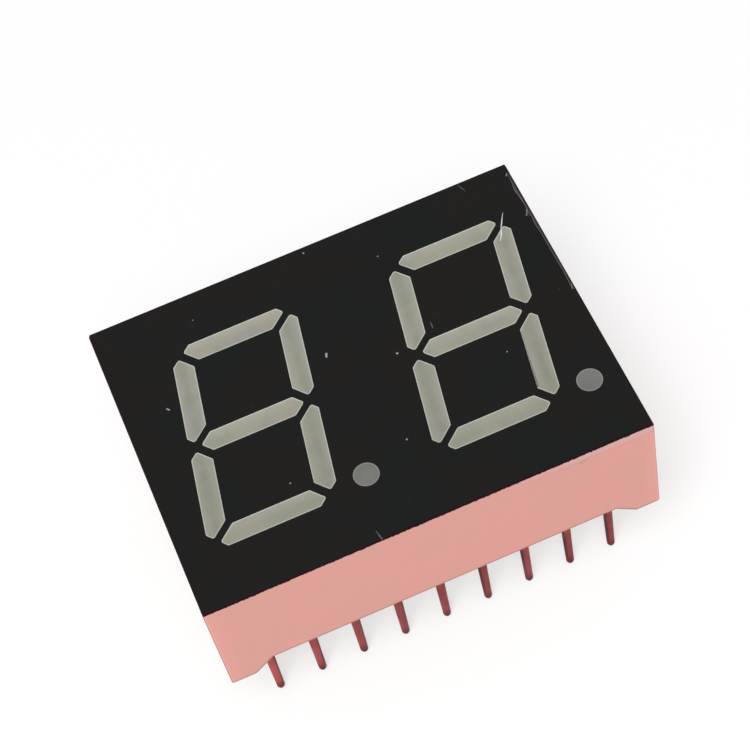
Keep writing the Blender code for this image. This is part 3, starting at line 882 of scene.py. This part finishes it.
# %% Make the housing finish
def housing_finish():
    """Dull pink plastic with clouds and a fine skin, inked at its rim and worn on its front wall, with
    painted highlights towards its ends and painted shade at its front corners and lower edges.
    """
    material, tree, shader = new_finish("pink_plastic_finish", Specular_IOR_Level=0.22)
    point = millimetres(tree)
    x, y, z = axes(tree, point)
    depth = combine(tree, "SUBTRACT", FACE_Z / MM, z)
    pink = (0.722, 0.330, 0.291)
    sand = (0.694, 0.338, 0.288)
    clouds = fade(tree, noise(tree, point, 1.7, detail=4, roughness=0.6), *FIRM)
    flecks = fade(tree, noise(tree, point, 0.16, detail=3), 0.60, 0.74, 0.0, 0.12)
    beside = combine(tree, "SUBTRACT", housing_high.x / MM, combine(tree, "ABSOLUTE", x))
    # Painted highlight: brighter towards the ends of the housing and on its side walls
    glow = fade(tree, beside, CORNER_HIGHLIGHT_REACH, 0.0, 0.0, 0.55)
    strip, crease, smudge, stain, foot_line = front_wall(tree, x, y, depth)
    facing = axes(tree, add(tree, "TexCoord").outputs["Normal"])
    # Painted shade along the lower edges: on faces that look down, and along the front wall's lower edge
    near_wall = fade(tree, from_edge(tree, x, y, housing_high), 2 * EDGE_SHADE_REACH, 0.0)
    underside = overlap(tree, fade(tree, facing[2], -0.1, -0.5), near_wall)
    painted_edge_shade = combine(tree, "MAXIMUM", underside, foot_line)
    at_front = fade(tree, y, *FRONT_CORNERS)
    # Painted highlight: a bright line along the front corners
    lit = overlap(tree, at_front, fade(tree, beside, CORNER_HIGHLIGHT_LINE, CORNER_HIGHLIGHT_LINE / 3, 0.0, 0.6))
    # Painted shade on the faces that turn sideways at the front corners
    sideways = combine(tree, "ABSOLUTE", facing[0])
    turned = overlap(tree, at_front, fade(tree, sideways, 0.35, 0.70, 0.0, 0.75))
    base = mix(tree, clouds, pink, sand)
    for mask, share, colour in (
        (flecks, 1.0, (0.56, 0.25, 0.22)),
        (glow, 1.0, (0.800, 0.352, 0.308)),
        (strip, 0.9, (0.655, 0.412, 0.392)),
        (crease, 0.24, (0.500, 0.235, 0.205)),
        (smudge, 0.45, (0.470, 0.250, 0.170)),
        (stain, 0.65, (0.270, 0.150, 0.170)),
        (painted_edge_shade, 0.75, (0.250, 0.120, 0.100)),
        (lit, 1.0, (0.880, 0.385, 0.330)),
        (turned, 1.0, (0.300, 0.150, 0.165)),
    ):
        base = mix(tree, overlap(tree, mask, share), base, colour)
    ink, rim = ink_on_rim(tree, point, facing, depth)

    skin = noise(tree, point, 0.05, detail=2)
    broad = relief(tree, noise(tree, point, 3.0), 0.02, relief(tree, skin, 0.005))
    fill(tree, shader, Base_Color=mix(tree, ink, base, rim), Normal=relief(tree, strip, 0.012, broad))
    fill(tree, shader, Roughness=fade(tree, skin, *SOFT, 0.52, 0.64))
    return material


pink_plastic = housing_finish()
print(pink_plastic.name, len(pink_plastic.node_tree.nodes), "nodes")

# %% [markdown]
# ## The housing
#
# A moulding has no truly sharp edges, because the mould has none. The rounding is small here, but it
# draws the thin dark and light lines along the feet and the rim. The edges of the outer walls are
# selected by their place and bevelled. The upright corners have their radius in the solid already.

# %% Model the housing
MOULD_EDGE = 0.05 * MM
CORNER_DEPTH = 0.05 * MM
UPRIGHT = 0.9


def outer(vert):
    """Whether a vertex lies on an outer wall of the housing or on a rounded corner."""
    beside = min(abs(vert.co.x - housing_low.x), abs(vert.co.x - housing_high.x))
    along = min(abs(vert.co.y - housing_low.y), abs(vert.co.y - housing_high.y))
    return min(beside, along) < CORNER_DEPTH


def of_outer_wall(edge):
    """Whether an edge is a sharp one of the outer walls, but not an upright one."""
    start, end = edge.verts
    slope = abs((start.co - end.co).normalized().z)
    return sharp(edge) and outer(start) and outer(end) and slope < UPRIGHT


moulded_housing = from_solid("reflector_housing", "moulded_housing")
round_edges(moulded_housing, of_outer_wall, MOULD_EDGE)
settle(moulded_housing, pink_plastic, "reflector_housing")

# %% [markdown]
# ## Finish of the pins
#
# The pins are drawn wire with a dusty red lacquer over the metal. Drawing leaves fine lines along the
# wire, so the grain is stretched along Z. The lacquer is nearly dull, which is why the metal share
# stays low: a full metal would mirror the white room and lose its red. It is brighter on the pins at
# the left end. Painted shade darkens the tips and the side of each pin that faces the middle of the row.

# %% Make the pin finish
BRIGHTER_PINS = (-5.5, -10.0)
SHADED_TIP = (1.35, 0.50)


def pin_finish():
    """Drawn wire with a dusty red lacquer, with painted shade at the tip and on one side, brighter on the
    left pins.
    """
    material, tree, shader = new_finish("plated_wire_finish", Metallic=0.05, Specular_IOR_Level=0.08)
    point = millimetres(tree)
    x, y, z = axes(tree, point)
    red = (0.318, 0.046, 0.047)
    dark = (0.240, 0.038, 0.041)
    drawn = noise(tree, point, 0.05, detail=3, stretch=(1, 1, 14))
    patches = fade(tree, noise(tree, point, 0.8, detail=4, stretch=(1, 1, 2)), *FIRM)
    facing = axes(tree, add(tree, "TexCoord").outputs["Normal"])
    # Painted shade on the side of each pin that faces the middle of the row
    outward = combine(tree, "MULTIPLY", facing[0], combine(tree, "SIGN", x))
    base = mix(tree, patches, red, dark)
    for mask, colour in (
        (fade(tree, x, *BRIGHTER_PINS, 0.0, 0.85), (0.500, 0.072, 0.066)),
        (fade(tree, drawn, 0.45, 0.75, 0.0, 0.30), (0.430, 0.085, 0.080)),
        (fade(tree, outward, -0.40, -0.78, 0.0, 0.85), (0.052, 0.006, 0.009)),
        # Painted shade at the tips
        (fade(tree, z, *SHADED_TIP, 0.0, 0.92), (0.135, 0.014, 0.019)),
    ):
        base = mix(tree, mask, base, colour)
    roughness = fade(tree, patches, 0.0, 1.0, 0.42, 0.54)
    fill(tree, shader, Base_Color=base, Roughness=roughness, Normal=relief(tree, drawn, 0.004))
    return material


plated_wire = pin_finish()
print(plated_wire.name, len(plated_wire.node_tree.nodes), "nodes")

# %% [markdown]
# ## The pins
#
# A pin is a round wire with a short conical tip and, inside the housing, a riveted head that holds it
# in the circuit board. Each stage of such a turned shape is one extrusion: up by a height, then out or
# in by a scale. Only one pin is modelled. The others are copies with their own mesh, moved to where
# their solids are.

# %% Read the stages of a pin
PIN_SIDES = 32


def pin_foot(node):
    """The middle of a pin's tip."""
    low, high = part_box(node)
    return Vector(((low.x + high.x) / 2, (low.y + high.y) / 2, low.z))


def pin_stages(node):
    """Heights and radii of a pin from its tip up, read from its solid."""
    foot = pin_foot(node)
    half_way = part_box(node)[1].z / 2
    rings = {}
    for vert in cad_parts[node].data.vertices:
        height = round(vert.co.z - foot.z, 6)
        radius = round((vert.co.xy - foot.xy).length, 6)
        rings.setdefault(height, set()).add(radius)
    stages = []
    for height in sorted(rings):
        for radius in sorted(rings[height], reverse=height > half_way):
            if radius > LEVEL:
                stages.append((height, radius))
    return stages


pin_profile = pin_stages(PINS[0])
TIP_HEIGHT, PIN_RADIUS = pin_profile[1]
print("pin stages:", [(round(height / MM, 2), round(radius / MM, 3)) for height, radius in pin_profile])


# %% Turn a shape
def turn(name, stages):
    """A turned shape around the Z axis: a disc that is extruded through heights and radii."""
    bpy.ops.object.select_all(action="DESELECT")
    level, radius = stages[0]
    bpy.ops.mesh.primitive_circle_add(
        vertices=PIN_SIDES, radius=radius, fill_type="NGON", location=(0, 0, level)
    )
    piece = bpy.context.object
    piece.name = name
    bpy.ops.object.transform_apply()
    bpy.ops.object.mode_set(mode="EDIT")
    bpy.ops.mesh.select_all(action="SELECT")
    for height, width in stages[1:]:
        bpy.ops.mesh.extrude_region_move(TRANSFORM_OT_translate={"value": (0, 0, height - level)})
        scale = width / radius
        bpy.ops.transform.resize(value=(scale, scale, 1), center_override=(0, 0, height))
        level = height
        radius = width
    bpy.ops.mesh.select_all(action="SELECT")
    bpy.ops.mesh.normals_make_consistent(inside=False)
    leave()
    return piece


# %% Model one pin and set the pins
PIN_EDGE = 0.03 * MM


def round_tip(edge):
    """Whether an edge goes round the tip of a pin, at its end or where its cone starts."""
    start, end = (vert.co.z for vert in edge.verts)
    return abs(start - end) < LEVEL and start < TIP_HEIGHT + LEVEL


def copy_at(source, name, place):
    """A copy of a piece, moved to a place."""
    piece = copied(source.data, name)
    piece.data.transform(Matrix.Translation(place))
    return piece


first_pin = turn("pin", pin_profile)
round_edges(first_pin, round_tip, PIN_EDGE, segments=3)
for node in PINS:
    settle(copy_at(first_pin, "turned_" + node, pin_foot(node)), plated_wire, node)
bpy.data.objects.remove(first_pin)
print("pins set:", len(PINS))

# %% [markdown]
# ## Finish of the sealing resin
#
# Behind the circuit board the housing is filled with a thin layer of poured epoxy, cream-coloured and
# glossy. Small bubbles rise in it while it sets. They show as darker dots with a soft edge, which
# cells of a Voronoi pattern give. A weak coat makes the surface shine like wet varnish.

# %% Make the sealing resin finish
def sealing_finish():
    """Glossy cream epoxy with bubbles under its surface."""
    material, tree, shader = new_finish("poured_resin_finish", Roughness=0.22, Specular_IOR_Level=0.5)
    fill(tree, shader, Subsurface_Weight=0.15, Subsurface_Scale=0.0006)
    fill(tree, shader, Coat_Weight=0.25, Coat_Roughness=0.08)
    point = millimetres(tree)
    clouds = fade(tree, noise(tree, point, 3.5, detail=4), *SOFT)
    base = mix(tree, clouds, (0.53, 0.50, 0.41), (0.60, 0.56, 0.46))
    bubbles = dots(tree, point, apart=0.9, edge=0.16, core=0.10)
    base = mix(tree, overlap(tree, bubbles, 0.45), base, (0.36, 0.33, 0.26))
    surface = relief(tree, noise(tree, point, 2.2), 0.03)
    fill(tree, shader, Base_Color=base, Normal=relief(tree, bubbles, 0.004, surface))
    return material


poured_resin = sealing_finish()
print(poured_resin.name, len(poured_resin.node_tree.nodes), "nodes")

# %% [markdown]
# ## The sealing resin
#
# Liquid resin climbs a little at everything it touches. At the walls of the housing its surface rises
# in a curve, which insets of the back face make, each with less depth than the one before. Around
# each pin it forms a small collar. A collar is a ring that is extruded and narrowed in steps along the
# same curve. The collars are joined to the slab with a union, and the pins' holes are then cut.

# %% Shape the slab
CLIMB = [(0.06 * MM, 0.045 * MM), (0.10 * MM, 0.030 * MM), (0.14 * MM, 0.015 * MM)]
CLIMB_HEIGHT = sum(depth for width, depth in CLIMB)
resin_middle = (resin_low + resin_high) / 2
resin_size = resin_high - resin_low


def model_slab():
    """The slab of resin, highest where it touches the walls."""
    bpy.ops.object.select_all(action="DESELECT")
    bpy.ops.mesh.primitive_cube_add(size=1, location=resin_middle)
    piece = bpy.context.object
    piece.name = "poured_sealing_resin"
    piece.scale = resin_size
    bpy.ops.object.transform_apply()
    mesh = edit(piece)
    pick(piece, [face for face in mesh.faces if face.normal.z < -FRONT_COSINE])
    for width, depth in CLIMB:
        bpy.ops.mesh.inset(thickness=width, depth=-depth, use_even_offset=True)
    leave()
    return piece


slab = model_slab()
back_level = resin_low.z + CLIMB_HEIGHT
print("resin surface at {:.3f} mm, rising {:.3f} mm".format(back_level / MM, CLIMB_HEIGHT / MM))

# %% Model a collar
COLLAR_FOOT = 0.05
COLLAR = [(0.44, 0.0), (0.39, 0.010), (0.34, 0.026), (0.30, 0.048), (0.27, 0.075), (0.25, 0.105)]

collar_stages = [(COLLAR_FOOT * MM, COLLAR[0][0] * MM)]
collar_stages += [(-drop * MM, radius * MM) for radius, drop in COLLAR]
collar = turn("collar", collar_stages)
print("collar:", len(collar.data.polygons), "faces")


# %% Join the collars and cut the holes
def repeat_at_pins(source, name, level):
    """One object with a copy of the source at each pin."""
    copies = [copy_at(source, name, (*pin_foot(node).xy, level)) for node in PINS]
    only(copies[0])
    for part in copies:
        part.select_set(True)
    bpy.ops.object.join()
    bpy.data.objects.remove(source)
    return copies[0]


def apply_boolean(piece, operation, other):
    """Applies a Boolean and removes the other object."""
    only(piece)
    boolean = piece.modifiers.new(operation.lower(), "BOOLEAN")
    boolean.operation = operation
    boolean.object = other
    boolean.solver = "EXACT"
    bpy.ops.object.modifier_apply(modifier=boolean.name)
    bpy.data.objects.remove(other)


bpy.ops.object.select_all(action="DESELECT")
bpy.ops.mesh.primitive_cylinder_add(vertices=PIN_SIDES, radius=PIN_RADIUS, depth=4 * resin_size.z)
hole = bpy.context.object
apply_boolean(slab, "UNION", repeat_at_pins(collar, "collars", back_level))
apply_boolean(slab, "DIFFERENCE", repeat_at_pins(hole, "holes", resin_middle.z))
settle(slab, poured_resin, "sealing_resin")
print("sealing resin:", len(slab.data.polygons), "faces")

# %% [markdown]
# ## Finish of the circuit board
#
# The board is glass-fibre laminate. Its weave is two sets of threads at right angles, here two wave
# patterns along X and Y, with the brighter one on top. It lies hidden between the housing and the resin,
# and is finished all the same, so that the part can be taken apart.

# %% Make the board finish
def board_finish():
    """Glass-fibre laminate with its weave."""
    material, tree, shader = new_finish("laminate_finish", Roughness=0.45, Specular_IOR_Level=0.4)
    point = millimetres(tree)
    threads = []
    for way in ("X", "Y"):
        wave = add(tree, "TexWave", point, wave_type="BANDS", bands_direction=way, Scale=1 / 1.3)
        threads.append(fill(tree, wave, Distortion=0.6, Detail=2.0).outputs["Fac"])
    weave = combine(tree, "MAXIMUM", *threads)
    base = mix(tree, weave, (0.27, 0.33, 0.18), (0.38, 0.44, 0.26))
    clouds = fade(tree, noise(tree, point, 2.4, detail=3), *SOFT, 0.0, 0.3)
    base = mix(tree, clouds, base, (0.42, 0.40, 0.24))
    fill(tree, shader, Base_Color=base, Normal=relief(tree, weave, 0.01))
    return material


laminate = board_finish()
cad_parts["circuit_board"].data.materials[0] = laminate
print(laminate.name, len(laminate.node_tree.nodes), "nodes")

# %% [markdown]
# ## Finish of the chips
#
# A chip is a cube of crystal 0.3 mm across with a gold bond pad on top. One material does both: a mask
# by height finds the pad. Sawn sides are a little rough, with fine lines from the saw.

# %% Make the chip finish
PAD_DEPTH = 0.015
PAD_BLUR = 0.002


def chip_finish():
    """Sawn crystal with a gold pad on top."""
    material, tree, shader = new_finish("crystal_finish", Specular_IOR_Level=0.6)
    point = millimetres(tree)
    pad_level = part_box("left_chip_a")[1].z / MM - PAD_DEPTH
    pad = fade(tree, axes(tree, point)[2], pad_level - PAD_BLUR, pad_level + PAD_BLUR)
    saw = noise(tree, point, 0.02, detail=2, stretch=(6, 6, 1))
    sawn = mix(tree, saw, (0.38, 0.09, 0.03), (0.52, 0.16, 0.06))
    colour = mix(tree, pad, sawn, (0.80, 0.56, 0.20))
    fill(tree, shader, Base_Color=colour, Metallic=pad, Roughness=fade(tree, saw, 0.0, 1.0, 0.22, 0.42))
    fill(tree, shader, Normal=relief(tree, saw, 0.002))
    return material


crystal = chip_finish()
chips = [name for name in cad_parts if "_chip_" in name]
for name in chips:
    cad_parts[name].data.materials[0] = crystal
print(crystal.name, "on", len(chips), "chips")
